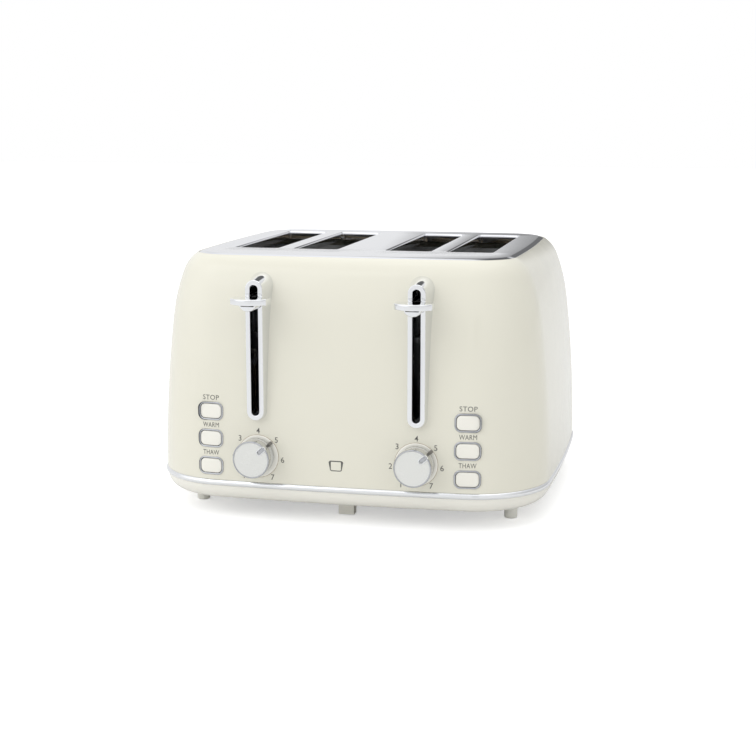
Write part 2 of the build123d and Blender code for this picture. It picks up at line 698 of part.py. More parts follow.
# ---- write every node ---------------------------------------------------------------------------
def main():
    save("body_shell", body_shell())
    save("trim_ring", trim_ring())
    save("base_moulding", base_moulding())
    save("top_plate", top_plate())
    save("rubber_feet", rubber_feet())
    save("base_screws", base_screws())
    save_pair("lever_bezel", lever_bezel())
    save_pair("lever_handle", lever_handle())
    save_pair("dial_plinth", dial_plinth())
    save_pair("knob", knob())
    save_pair("knob_ring", knob_ring())
    save_pair("pot_shaft", pot_shaft())
    save_pair("pot_housing", pot_housing())
    for name, z in zip(BUTTON_NAMES, BUTTON_Z):
        save_pair(f"button_{name}", button(z))
    rings = [button_ring(z) for z in BUTTON_Z]
    save("button_rings", group(rings + [other_side(ring) for ring in rings]))
    save("tact_switches", tact_switches())
    save("guide_rods", guide_rods())
    save_pair("carriage", carriage())
    save_pair("keeper", keeper())
    save_pair("electromagnet", electromagnet())
    save_pair("return_spring", return_spring())
    save_pair("lifter_inner", lifter(SLOT_X[0]))
    save_pair("lifter_outer", lifter(SLOT_X[1]))
    save_pair("control_board", control_board())
    save("board_posts", board_posts())
    save("chassis_front_plate", chassis_front_plate())
    save("chassis_rear_plate", chassis_rear_plate())
    save("heat_shields", group([side_shield(), other_side(side_shield()), centre_shield()]))
    save("mica_cards", mica_cards())
    save("heating_ribbons", heating_ribbons())
    save_pair("guards_inner", bread_guards(1))
    save_pair("guards_outer", bread_guards(-1))
    save_pair("crumb_tray", crumb_tray())
    save_pair("tray_handle", tray_handle())
    save("cord_gland", cord_gland())
    save("mains_lead", mains_lead())
    save("terminal_block", terminal_block())


main()
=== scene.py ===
"""Cream four-slice pop-up toaster: finished surfaces, markings, floor, light and camera."""
import json
from math import acos, asin, atan2, copysign, cos, hypot, pi, radians, sin, sqrt, tan

import bmesh
import bpy
from mathutils import Matrix, Vector

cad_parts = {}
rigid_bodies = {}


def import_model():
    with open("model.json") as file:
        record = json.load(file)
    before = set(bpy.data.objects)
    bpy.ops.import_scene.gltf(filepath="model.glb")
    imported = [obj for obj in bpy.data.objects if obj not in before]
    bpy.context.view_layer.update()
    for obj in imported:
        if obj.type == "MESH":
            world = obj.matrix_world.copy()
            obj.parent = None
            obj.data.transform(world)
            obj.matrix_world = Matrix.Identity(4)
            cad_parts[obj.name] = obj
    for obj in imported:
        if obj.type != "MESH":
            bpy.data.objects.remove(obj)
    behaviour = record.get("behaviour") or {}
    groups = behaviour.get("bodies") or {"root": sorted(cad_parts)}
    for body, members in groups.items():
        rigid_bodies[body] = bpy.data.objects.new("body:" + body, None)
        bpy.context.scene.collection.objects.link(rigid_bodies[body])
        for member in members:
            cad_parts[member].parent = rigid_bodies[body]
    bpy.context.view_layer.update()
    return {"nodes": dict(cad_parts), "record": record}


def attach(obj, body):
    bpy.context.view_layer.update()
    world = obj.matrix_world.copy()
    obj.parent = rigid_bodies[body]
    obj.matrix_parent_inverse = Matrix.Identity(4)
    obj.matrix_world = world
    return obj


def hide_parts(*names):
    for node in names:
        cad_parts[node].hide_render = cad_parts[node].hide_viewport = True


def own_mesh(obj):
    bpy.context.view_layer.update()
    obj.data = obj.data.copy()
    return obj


for leftover in list(bpy.data.objects):
    bpy.data.objects.remove(leftover)

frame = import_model()
nodes = frame["nodes"]

MM = 0.001
SEAM = 0.02         # where the two ends of a full turn meet, in millimetres
SIDES = (("right", 1), ("left", -1))

# ---- sizes, in millimetres: the plan outline and the places of the controls, as in the model ----
HALF_WIDTH, HALF_DEPTH, CORNER_R, BULGE_R = 155.0, 146.0, 61.0, 1818.0
RING_BOTTOM, RING_TOP, PLATE_TOP = 25.4, 30.2, 199.2
SHELL_PROFILE = ((1.3, RING_TOP), (8.9, 150.0), (17.8, 185.0), (28.8, 198.2))
BREAD_SLOT_X, BREAD_SLOT_Y = (-85.0, -37.0, 37.0, 85.0), 12.0
BREAD_SLOT_HALF, BREAD_SLOT_CORNER = (17.0, 76.0), 3.0
LEVER_X, SLOT_LOW, SLOT_HIGH = 61.0, 85.1, 176.8
DIAL_X, DIAL_Z = 61.0, 51.2
SEAT_X, SEAT_Z = 60.5, 50.5     # the printed scale and the seat sit a little in and down from the spindle
GLAND_Z, GLAND_R = 48.0, 6.5
SPRING_X, SPRING_Y = 81.0, -104.0
BUTTON_X, BUTTON_Z = 98.3, (82.7, 61.9, 40.8)
BUTTON_NAMES = ("stop", "warm", "thaw")
BUTTON_CORE = (5.0, 2.0)        # half sizes of the rectangle that a surround is rounded about
LEVER_MIDDLE, LEVER_HALF = (SLOT_LOW + SLOT_HIGH) / 2, (SLOT_HIGH - SLOT_LOW) / 2


# ---- the body's surface -------------------------------------------------------------------------
def corner_centre():
    """Where the corner arcs are centred, so that they run smoothly into the long arcs."""
    x, y = HALF_WIDTH - CORNER_R, HALF_DEPTH - CORNER_R
    reach = BULGE_R - CORNER_R
    for _ in range(20):
        x = HALF_WIDTH - BULGE_R + sqrt(reach**2 - y**2)
        y = HALF_DEPTH - BULGE_R + sqrt(reach**2 - x**2)
    return x, y


CORNER = corner_centre()


def arc_through(start, tangent, end):
    """Centre and radius of the arc that leaves start along tangent and ends at end."""
    chord = end - start
    across = Vector((-tangent.y, tangent.x))
    radius = chord.length_squared / (2 * chord.dot(across))
    return start + across * radius, radius


def shell_arcs():
    """The shell's profile as arcs in (inset, height): (centre, radius, lowest point, highest point)."""
    arcs = []
    tangent = Vector((0, 1))
    places = [Vector(p) for p in SHELL_PROFILE]
    for low, high in zip(places, places[1:]):
        centre, radius = arc_through(low, tangent, high)
        arcs.append((centre, radius, low, high))
        spoke = (high - centre) / radius
        tangent = Vector((-spoke.y, spoke.x))
    return arcs


ARCS = shell_arcs()


def shell_inset(z):
    """How far the shell's face lies inside the plan outline at a height."""
    for centre, radius, low, high in ARCS:
        if z <= high.y + 0.001:
            rise = max(z, low.y) - centre.y
            return centre.x - sqrt(radius**2 - rise**2)
    return SHELL_PROFILE[-1][0]


def outline_front(x, inset):
    """y of the front of the plan outline, set in by a distance, at a given x."""
    corner_x, corner_y = CORNER
    long_y = HALF_DEPTH - BULGE_R
    joint_x = (BULGE_R - inset) * sin(atan2(corner_x, corner_y - long_y))
    if abs(x) <= joint_x:
        return -(long_y + sqrt((BULGE_R - inset) ** 2 - x**2))
    return -(corner_y + sqrt((CORNER_R - inset) ** 2 - (abs(x) - corner_x) ** 2))


def shell_y(x, z, proud=0.0):
    """y of the shell's front face, moved out by a distance."""
    return outline_front(x, shell_inset(z) - proud)


# ---- materials ----------------------------------------------------------------------------------
def add(tree, kind, **inputs):
    """A new node with constants on its inputs."""
    node = tree.nodes.new(kind)
    for name, value in inputs.items():
        node.inputs[name.replace("_", " ")].default_value = value
    return node


def noise(tree, vector, scale, detail=4.0, roughness=0.55):
    node = add(tree, "ShaderNodeTexNoise", Scale=scale, Detail=detail, Roughness=roughness)
    tree.links.new(vector, node.inputs["Vector"])
    return node.outputs["Fac"]


def ramp(tree, value, low, high, out_low=0.0, out_high=1.0):
    """A value carried from one range to another; the ends of a range are numbers or sockets."""
    node = add(tree, "ShaderNodeMapRange")
    for socket, number in zip(("From Min", "From Max", "To Min", "To Max"), (low, high, out_low, out_high)):
        if isinstance(number, (int, float)):
            node.inputs[socket].default_value = number
        else:
            tree.links.new(number, node.inputs[socket])
    tree.links.new(value, node.inputs["Value"])
    return node.outputs["Result"]


def group_with(name, inputs, outputs):
    """An empty node group with its sockets, and its input and output nodes."""
    tree = bpy.data.node_groups.new(name, "ShaderNodeTree")
    for label, kind, default in inputs:
        socket = tree.interface.new_socket(label, in_out="INPUT", socket_type=kind)
        if default is not None:
            socket.default_value = default
    for label, kind in outputs:
        tree.interface.new_socket(label, in_out="OUTPUT", socket_type=kind)
    return tree, tree.nodes.new("NodeGroupInput"), tree.nodes.new("NodeGroupOutput")


def math_node(tree, operation, a, b):
    node = tree.nodes.new("ShaderNodeMath")
    node.operation = operation
    for socket, value in zip(node.inputs, (a, b)):
        if isinstance(value, (int, float)):
            socket.default_value = value
        else:
            tree.links.new(value, socket)
    return node.outputs[0]


def build_surface_group():
    """Handled-surface detail: cloudy tone, smudged gloss and a fine skin for the bump."""
    tree, given, result = group_with(
        "handled_surface",
        [
            ("Base", "NodeSocketColor", (0.8, 0.8, 0.8, 1)),
            ("Shade", "NodeSocketColor", (0.7, 0.7, 0.7, 1)),
            ("Cloud Scale", "NodeSocketFloat", 14.0),
            ("Cloud Amount", "NodeSocketFloat", 0.3),
            ("Gloss Low", "NodeSocketFloat", 0.1),
            ("Gloss High", "NodeSocketFloat", 0.2),
            ("Grain Scale", "NodeSocketFloat", 900.0),
            ("Stretch", "NodeSocketVector", (1, 1, 1)),
        ],
        [("Color", "NodeSocketColor"), ("Roughness", "NodeSocketFloat"), ("Height", "NodeSocketFloat")],
    )
    place = tree.nodes.new("ShaderNodeTexCoord").outputs["Object"]
    stretched = tree.nodes.new("ShaderNodeVectorMath")
    stretched.operation = "MULTIPLY"
    tree.links.new(place, stretched.inputs[0])
    tree.links.new(given.outputs["Stretch"], stretched.inputs[1])
    cloud = tree.nodes.new("ShaderNodeTexNoise")
    cloud.inputs["Detail"].default_value = 5.0
    tree.links.new(place, cloud.inputs["Vector"])
    tree.links.new(given.outputs["Cloud Scale"], cloud.inputs["Scale"])
    grain = tree.nodes.new("ShaderNodeTexNoise")
    grain.inputs["Detail"].default_value = 3.0
    tree.links.new(stretched.outputs[0], grain.inputs["Vector"])
    tree.links.new(given.outputs["Grain Scale"], grain.inputs["Scale"])
    smudge = noise(tree, place, 38.0, 6.0, 0.65)
    mix = tree.nodes.new("ShaderNodeMix")
    mix.data_type = "RGBA"
    cloudy = ramp(tree, cloud.outputs["Fac"], 0.3, 0.7)
    share = math_node(tree, "MULTIPLY", cloudy, given.outputs["Cloud Amount"])
    tree.links.new(share, mix.inputs["Factor"])
    tree.links.new(given.outputs["Base"], mix.inputs["A"])
    tree.links.new(given.outputs["Shade"], mix.inputs["B"])
    tree.links.new(mix.outputs["Result"], result.inputs["Color"])
    smudge_part = math_node(tree, "MULTIPLY", smudge, 0.7)
    grain_part = math_node(tree, "MULTIPLY", grain.outputs["Fac"], 0.3)
    blended = math_node(tree, "ADD", smudge_part, grain_part)
    gloss = ramp(tree, blended, 0.35, 0.65, given.outputs["Gloss Low"], given.outputs["Gloss High"])
    tree.links.new(gloss, result.inputs["Roughness"])
    tree.links.new(grain.outputs["Fac"], result.inputs["Height"])
    return tree


SURFACE = build_surface_group()


def finish(name, base, shade, cloud, gloss, grain, stretch=(1, 1, 1), **shader):
    """A material from the shared surface group.

    base and shade are the two tones that cloud (scale, amount) mixes. gloss is the range of roughness.
    grain is the (scale, bump strength) of the fine skin, drawn finer along an axis by stretch.
    The shader's own constants are given by name.
    """
    material = bpy.data.materials.new(name)
    material.use_nodes = True
    tree = material.node_tree
    principled = tree.nodes["Principled BSDF"]
    surface = tree.nodes.new("ShaderNodeGroup")
    surface.node_tree = SURFACE
    values = {
        "Base": (*base, 1),
        "Shade": (*shade, 1),
        "Cloud Scale": cloud[0],
        "Cloud Amount": cloud[1],
        "Gloss Low": gloss[0],
        "Gloss High": gloss[1],
        "Grain Scale": grain[0],
        "Stretch": stretch,
    }
    for socket, value in values.items():
        surface.inputs[socket].default_value = value
    tree.links.new(surface.outputs["Color"], principled.inputs["Base Color"])
    tree.links.new(surface.outputs["Roughness"], principled.inputs["Roughness"])
    if grain[1]:
        bump = add(tree, "ShaderNodeBump", Strength=grain[1], Distance=0.0002)
        tree.links.new(surface.outputs["Height"], bump.inputs["Height"])
        tree.links.new(bump.outputs["Normal"], principled.inputs["Normal"])
    for label, value in shader.items():
        principled.inputs[label.replace("_", " ")].default_value = value
    return material


ENAMEL = finish(
    "cream enamel", (0.800, 0.780, 0.670), (0.775, 0.752, 0.640),
    (9.0, 0.5), (0.13, 0.20), (520.0, 0.05), Specular_IOR_Level=0.4, Coat_Weight=0.25, Coat_Roughness=0.04)
CREAM_PLASTIC = finish(
    "cream moulding", (0.890, 0.872, 0.795), (0.865, 0.845, 0.765),
    (20.0, 0.4), (0.18, 0.27), (1500.0, 0.03))
CHROME = finish(
    "bright chrome", (0.86, 0.87, 0.88), (0.80, 0.81, 0.83),
    (30.0, 0.4), (0.03, 0.08), (700.0, 0.01), Metallic=1.0)
MIRROR_STEEL = finish(
    "mirror polished steel", (0.80, 0.81, 0.84), (0.74, 0.75, 0.79),
    (18.0, 0.4), (0.05, 0.10), (300.0, 0.02), (1, 12, 1), Metallic=1.0)
KNOB_FACE = finish(
    "knob moulding", (0.745, 0.750, 0.720), (0.715, 0.720, 0.690),
    (40.0, 0.4), (0.22, 0.30), (1800.0, 0.08))
RUBBER = finish(
    "black rubber", (0.020, 0.020, 0.021), (0.045, 0.044, 0.042),
    (60.0, 0.5), (0.62, 0.80), (2500.0, 0.5))
KNOB_CHROME = finish(
    "knob chrome", (0.68, 0.69, 0.70), (0.62, 0.63, 0.645),
    (30.0, 0.4), (0.06, 0.12), (700.0, 0.01), Metallic=1.0)
DULL_CHROME = finish(
    "satin chrome", (0.50, 0.51, 0.53), (0.44, 0.45, 0.47),
    (30.0, 0.4), (0.16, 0.24), (900.0, 0.02), Metallic=1.0)
POINTER_MARK = finish(
    "dark grey moulding", (0.19, 0.18, 0.155), (0.24, 0.225, 0.20),
    (60.0, 0.5), (0.3, 0.45), (1500.0, 0.1))
# Cream is the feet's own colour; it is set lighter than the cream moulding as painted light against the shade
# the feet stand in.
LIGHTENED_FOOT_RUBBER = finish(
    "cream rubber lightened against shade", (0.93, 0.92, 0.85), (0.88, 0.87, 0.80),
    (60.0, 0.5), (0.55, 0.70), (2500.0, 0.4))
ZINC = finish(
    "zinc sheet", (0.48, 0.49, 0.50), (0.36, 0.37, 0.38),
    (55.0, 0.9), (0.28, 0.45), (260.0, 0.2), (1, 1, 9), Metallic=1.0)
DRAWN_STEEL = finish(
    "drawn steel wire", (0.55, 0.55, 0.56), (0.42, 0.41, 0.40),
    (80.0, 0.6), (0.18, 0.30), (900.0, 0.1), Metallic=1.0)
SPRING_STEEL = finish(
    "oiled spring wire", (0.33, 0.33, 0.34), (0.22, 0.21, 0.20),
    (90.0, 0.6), (0.25, 0.4), (900.0, 0.1), Metallic=1.0)
COPPER = finish(
    "varnished winding", (0.42, 0.17, 0.06), (0.30, 0.11, 0.04),
    (120.0, 0.8), (0.25, 0.4), (420.0, 0.6), (1, 1, 6), Metallic=0.7)
BOARD = finish(
    "board laminate", (0.045, 0.16, 0.07), (0.03, 0.11, 0.05),
    (90.0, 0.8), (0.30, 0.45), (700.0, 0.15))
BLACK_PLASTIC = finish(
    "black moulding", (0.018, 0.018, 0.019), (0.035, 0.034, 0.033),
    (60.0, 0.5), (0.35, 0.5), (1600.0, 0.2))
MICA = finish(
    "mica sheet", (0.48, 0.40, 0.27), (0.34, 0.27, 0.17),
    (45.0, 0.9), (0.35, 0.55), (140.0, 0.5))
RIBBON = finish(
    "resistance ribbon", (0.30, 0.27, 0.24), (0.20, 0.15, 0.12),
    (120.0, 0.9), (0.35, 0.5), (600.0, 0.2), Metallic=1.0)
PRINT = finish(
    "grey print", (0.105, 0.105, 0.095), (0.135, 0.135, 0.12),
    (300.0, 0.6), (0.4, 0.55), (1200.0, 0.05))
# Painted shade: a dark bronze colour laid on the dial seat's edge, where the edge falls into shadow.
SEAT_EDGE_SHADE = finish(
    "painted seat edge shade", (0.42, 0.35, 0.24), (0.34, 0.28, 0.19),
    (80.0, 0.5), (0.25, 0.35), (800.0, 0.05), Metallic=0.35)

SLOT_FINISH = {
    "cream_enamel": ENAMEL,
    "cream_plastic": CREAM_PLASTIC,
    "bright_chrome": CHROME,
    "polished_steel": MIRROR_STEEL,
    "knob_plastic": KNOB_FACE,
    "black_rubber": RUBBER,
    "zinc_steel": ZINC,
    "drawn_steel": DRAWN_STEEL,
    "spring_steel": SPRING_STEEL,
    "magnet_core": COPPER,
    "board_laminate": BOARD,
    "black_plastic": BLACK_PLASTIC,
    "lead_jacket": BLACK_PLASTIC,
    "mica": MICA,
    "resistance_ribbon": RIBBON,
}


def dress_nodes():
    """Give every CAD node the finish of its material slot."""
    for part in frame["record"]["subparts"]:
        node, material = part["node"], SLOT_FINISH[part["material_slot"]]
        if node == "rubber_feet":
            # the feet take cream rubber lightened as painted light against the shade under the body
            material = LIGHTENED_FOOT_RUBBER
        for slot in nodes[node].material_slots:
            slot.material = material


# ---- mesh tools ---------------------------------------------------------------------------------
def plan_arcs():
    """The eight arcs of the plan outline as (centre x, centre y, radius, start angle, span)."""
    x, y = CORNER
    long_x, long_y = HALF_WIDTH - BULGE_R, HALF_DEPTH - BULGE_R
    front, end = atan2(x, y - long_y), atan2(y, x - long_x)
    turn = pi / 2 - front - end
    return [
        (0, -long_y, BULGE_R, -pi / 2 - front, 2 * front),
        (x, -y, CORNER_R, -pi / 2 + front, turn),
        (long_x, 0, BULGE_R, -end, 2 * end),
        (x, y, CORNER_R, end, turn),
        (0, long_y, BULGE_R, pi / 2 - front, 2 * front),
        (-x, y, CORNER_R, pi / 2 + front, turn),
        (-long_x, 0, BULGE_R, pi - end, 2 * end),
        (-x, -y, CORNER_R, pi + end, turn),
    ]


def sweep_round(profile, closed=False, spacing=6.0):
    """Carry a profile of (inset, z) points once round the plan outline."""
    bm = bmesh.new()
    x, y, radius, start, _ = plan_arcs()[0]
    chain = []
    for inset, z in profile:
        reach = radius - inset
        chain.append(bm.verts.new((x + reach * cos(start), y + reach * sin(start), z)))
    links = list(zip(chain, chain[1:]))
    if closed:
        links.append((chain[-1], chain[0]))
    geom = chain + [bm.edges.new(pair) for pair in links]
    for x, y, radius, _, span in plan_arcs():
        pace = spacing if radius > CORNER_R else spacing / 2
        steps = round(radius * span / pace)
        swept = bmesh.ops.spin(bm, geom=geom, cent=(x, y, 0), axis=(0, 0, 1), angle=span, steps=steps)
        geom = swept["geom_last"]
    bmesh.ops.remove_doubles(bm, verts=bm.verts, dist=SEAM)
    bmesh.ops.recalc_face_normals(bm, faces=bm.faces)
    return bm


def outline(bm, centre, half, radius, depth, upright=True, segments=32):
    """A rounded outline round a core rectangle of half sizes: upright in XZ, or lying in XY."""
    turned = Matrix.Rotation(pi / segments, 4, "Z")
    made = bmesh.ops.create_circle(bm, cap_ends=False, segments=segments, radius=radius, matrix=turned)
    ring = made["verts"]
    edges = {e for v in ring for e in v.link_edges}
    for v in ring:
        a = v.co.x + copysign(half[0], v.co.x) + centre[0]
        b = v.co.y + copysign(half[1], v.co.y) + centre[1]
        v.co = (a, depth, b) if upright else (a, b, depth)
    return list(edges)


def stadium(bm, x, low, high, radius, y, turn_steps=20, side_steps=24):
    """An upright slot outline with its straight sides divided."""
    geom = [bm.verts.new((x + radius, y, high))]
    rise = (high - low) / side_steps
    for centre_z, way in ((high, -1), (low, 1)):
        about = {"cent": (x, y, centre_z), "axis": (0, -1, 0)}
        turned = bmesh.ops.spin(bm, geom=geom, angle=pi, steps=turn_steps, **about)
        run = bmesh.ops.spin(bm, geom=turned["geom_last"], dvec=(0, 0, way * rise), angle=0, steps=side_steps,
                             **about)
        geom = run["geom_last"]
    bmesh.ops.remove_doubles(bm, verts=bm.verts, dist=SEAM)
    return bm.edges[:]


def loop_verts(start):
    """Every vertex joined to this one by edges."""
    found, waiting = {start}, [start]
    while waiting:
        for e in waiting.pop().link_edges:
            for v in e.verts:
                if v not in found:
                    found.add(v)
                    waiting.append(v)
    return found


def loft(bm, edges, centre, half, sections, upright=True):
    """Extrude an outline through sections of (radius, depth); a section may be worked out point by point."""
    for section in sections:
        made = bmesh.ops.extrude_edge_only(bm, edges=edges)
        fresh = set(new_verts(made))
        edges = [g for g in made["geom"] if isinstance(g, bmesh.types.BMEdge) and set(g.verts) <= fresh]
        for v in fresh:
            a = v.co.x - centre[0]
            b = (v.co.z if upright else v.co.y) - centre[1]
            core_a, core_b = max(-half[0], min(half[0], a)), max(-half[1], min(half[1], b))
            reach = hypot(a - core_a, b - core_b)
            way = ((a - core_a) / reach, (b - core_b) / reach)
            if callable(section):
                radius, depth = section(core_a + centre[0], core_b + centre[1], *way)
            else:
                radius, depth = section
            a, b = core_a + way[0] * radius + centre[0], core_b + way[1] * radius + centre[1]
            v.co = (a, depth, b) if upright else (a, b, depth)
    return edges


def on_shell(radius, proud):
    """A section that stays a set distance in front of the shell."""
    def place(core_x, core_z, way_x, way_z):
        return radius, shell_y(core_x + way_x * radius, core_z + way_z * radius, proud)
    return place


def cap(bm, edges):
    """Close a loop with a face."""
    return bmesh.ops.contextual_create(bm, geom=edges)["faces"]


def closed_loft(bm, centre, half, radius, depth, sections, segments=32):
    """A solid lofted from a rounded upright outline, closed at both ends."""
    edges = outline(bm, centre, half, radius, depth, segments=segments)
    cap(bm, edges)
    cap(bm, loft(bm, edges, centre, half, sections))


def bevel(bm, edges, offset, segments):
    """Round edges over."""
    bmesh.ops.bevel(bm, geom=edges, offset=offset, segments=segments, profile=0.5, affect="EDGES",
                    material=-1)


def new_verts(made):
    """The vertices among what an operator made."""
    return [g for g in made["geom"] if isinstance(g, bmesh.types.BMVert)]


def as_mesh(bm, name, outward=True):
    """A mesh in metres from a bmesh in millimetres, with its faces turned outward unless they already are."""
    if outward:
        bmesh.ops.recalc_face_normals(bm, faces=bm.faces)
    bmesh.ops.scale(bm, vec=(MM, MM, MM), verts=bm.verts)
    mesh = bpy.data.meshes.new(name)
    bm.to_mesh(mesh)
    bm.free()
    return mesh


def settle(mesh, name, material, body, slot, *replaced, crease=35.0):
    """Hand a finished piece over: it rides on a body and stands for the CAD nodes named."""
    if crease:
        mesh.shade_smooth()
        mesh.set_sharp_from_angle(angle=radians(crease))
    mesh.materials.clear()
    mesh.materials.append(material)
    obj = bpy.data.objects.new(name, mesh)
    bpy.context.scene.collection.objects.link(obj)
    bpy.context.view_layer.update()
    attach(obj, body)
    if replaced:
        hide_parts(*replaced)
    return obj


def carved(mesh, cutter, name):
    """The mesh with the cutter's solids taken out of it."""
    body = bpy.data.objects.new(name, mesh)
    tool = bpy.data.objects.new(f"{name}_tool", cutter)
    for obj in (body, tool):
        bpy.context.scene.collection.objects.link(obj)
    cut = body.modifiers.new("openings", "BOOLEAN")
    cut.operation, cut.solver, cut.object = "DIFFERENCE", "EXACT", tool
    bpy.context.view_layer.update()
    result = bpy.data.meshes.new_from_object(body.evaluated_get(bpy.context.evaluated_depsgraph_get()))
    for obj in (body, tool):
        bpy.data.objects.remove(obj)
    return result


# ---- housing ------------------------------------------------------------------------------------
SHEET = 0.9


def shell_profile():
    """The shell's face from the band to its rolled top edge, as (inset, z)."""
    heights = [RING_TOP + 0.02]
    for top, pace in ((150.0, 5.0), (185.0, 2.2), (198.2, 0.8)):
        low = heights[-1]
        steps = round((top - low) / pace)
        heights += [low + (top - low) * (k + 1) / steps for k in range(steps)]
    lip = [(29.15, 198.25), (29.35, 198.05), (29.4, 197.6), (29.4, 196.8)]
    return [(shell_inset(z), z) for z in heights] + lip


def shell_cutter():
    """Where the levers, dials, buttons and lead pass through the shell."""
    bm = bmesh.new()
    before, within, rear_within, behind = -160.0, -112.0, 120.0, 160.0
    lever_r, dial_r, button_r = 5.4, 15.4, 4.6
    for _, sign in SIDES:
        shapes = [((sign * LEVER_X, LEVER_MIDDLE), (0, LEVER_HALF), lever_r)]
        shapes.append(((sign * SEAT_X, SEAT_Z), (0, 0), dial_r))
        shapes += [((sign * BUTTON_X, z), BUTTON_CORE, button_r) for z in BUTTON_Z]
        for centre, half, radius in shapes:
            closed_loft(bm, centre, half, radius, before, [(radius, within)])
    closed_loft(bm, (0, GLAND_Z), (0, 0), GLAND_R, rear_within, [(GLAND_R, behind)])
    return as_mesh(bm, "shell_cutter")


def make_shell():
    bm = sweep_round(shell_profile())
    bmesh.ops.solidify(bm, geom=bm.faces[:], thickness=SHEET)
    bmesh.ops.recalc_face_normals(bm, faces=bm.faces)
    mesh = carved(as_mesh(bm, "enamelled_shell"), shell_cutter(), "enamelled_shell")
    settle(mesh, "enamelled_shell", ENAMEL, "housing", "cream_enamel", "body_shell")


def make_trim_ring():
    """Chrome band with a bowed face between the shell and the base."""
    middle, half_height, bow = (RING_BOTTOM + RING_TOP) / 2, (RING_TOP - RING_BOTTOM) / 2, 1.7
    radius = (half_height**2 + bow**2) / (2 * bow)
    spread = asin(half_height / radius)
    face = []
    for k in range(13):
        angle = spread * (k / 6 - 1)
        face.append((radius - radius * cos(angle), middle + radius * sin(angle)))
    top, step, back = RING_TOP + 0.02, 2.1, 4.0
    profile = face + [(step, top), (back, top), (back, RING_BOTTOM), (step, RING_BOTTOM)]
    bm = sweep_round(profile, closed=True, spacing=5.0)
    settle(as_mesh(bm, "chrome_band"), "chrome_band", CHROME, "housing", "bright_chrome", "trim_ring")


def make_top_plate():
    """Mirror plate: flat top, flat bevel with soft edges, and four slots with rolled rims and collars."""
    rim = [(35.0, PLATE_TOP), (33.5, PLATE_TOP), (33.25, 199.18), (33.05, 199.13), (32.8, 199.05)]
    rim += [(30.1, 198.15), (29.85, 198.05), (29.7, 197.9), (29.62, 197.65), (29.6, 197.2), (29.6, 196.4)]
    bm = sweep_round(rim)
    bounds = [e for e in bm.edges if e.is_boundary and min(v.co.z for v in e.verts) > PLATE_TOP - 0.1]
    corner, roll = BREAD_SLOT_CORNER, 1.6
    core = tuple(half - corner for half in BREAD_SLOT_HALF)
    holes = []
    for x in BREAD_SLOT_X:
        centre = (x, BREAD_SLOT_Y)
        edges = outline(bm, centre, core, corner + roll, PLATE_TOP, upright=False)
        holes.append((centre, edges))
        bounds += edges
    bmesh.ops.triangle_fill(bm, use_beauty=True, use_dissolve=False, edges=bounds, normal=(0, 0, 1))
    collar = []
    for k in range(1, 6):
        angle = k * pi / 10
        collar.append((corner + roll * (1 - sin(angle)), PLATE_TOP - roll * (1 - cos(angle))))
    collar += [(corner, 197.0), (corner, 192.6), (3.1, 192.3), (3.4, 192.2)]
    for centre, edges in holes:
        loft(bm, edges, centre, core, collar, upright=False)
    bmesh.ops.recalc_face_normals(bm, faces=bm.faces)
    highest = max(bm.faces, key=lambda f: f.calc_center_median().z)
    if highest.normal.z < 0:
        bmesh.ops.reverse_faces(bm, faces=bm.faces)
    mesh = as_mesh(bm, "mirror_plate", outward=False)
    plate = settle(mesh, "mirror_plate", MIRROR_STEEL, "housing", "polished_steel", "top_plate", crease=50.0)
    wall = plate.modifiers.new("sheet", "SOLIDIFY")
    wall.thickness, wall.offset = 0.6 * MM, -1.0


# ---- levers -------------------------------------------------------------------------------------
BEZEL_FRONT, BEZEL_DRAFT = -147.6, tan(radians(10.5))
SHOULDER_R, SHOULDER_Y = 6.7, -146.8


def bezel_wall(share):
    """A section of the hood's drafted wall, at a share of the way from its shoulder to the shell."""
    def place(core_x, core_z, way_x, way_z):
        y = -140.0
        for _ in range(8):
            radius = SHOULDER_R + BEZEL_DRAFT * (y - SHOULDER_Y)
            y = shell_y(core_x + way_x * radius, core_z + way_z * radius) + 0.5
        y = SHOULDER_Y + (y - SHOULDER_Y) * share
        return SHOULDER_R + BEZEL_DRAFT * (y - SHOULDER_Y), y
    return place


def make_bezel(side, sign):
    """Lever hood: the slot's inner wall, a flat rounded rim and a drafted wall down to the shell."""
    bm = bmesh.new()
    centre, half = (sign * LEVER_X, LEVER_MIDDLE), (0, LEVER_HALF)
    slot_r, inner_end = 3.0, -128.0
    edges = stadium(bm, centre[0], SLOT_LOW, SLOT_HIGH, slot_r, inner_end)
    lip = [(slot_r, -146.9), (3.06, -147.25), (3.25, -147.5), (3.55, BEZEL_FRONT), (3.8, BEZEL_FRONT)]
    lip += [(5.8, BEZEL_FRONT), (6.05, BEZEL_FRONT), (6.4, -147.5), (6.62, -147.2), (SHOULDER_R, SHOULDER_Y)]
    lip += [bezel_wall(0.03)] + [bezel_wall(k / 8) for k in range(1, 9)]
    loft(bm, edges, centre, half, lip)
    bmesh.ops.recalc_face_normals(bm, faces=bm.faces)
    front = min(bm.faces, key=lambda f: f.calc_center_median().y)
    if front.normal.y > 0:
        bmesh.ops.reverse_faces(bm, faces=bm.faces)
    name = f"lever_hood_{side}"
    settle(as_mesh(bm, name, outward=False), name, CHROME, "housing", "bright_chrome", f"lever_bezel_{side}")


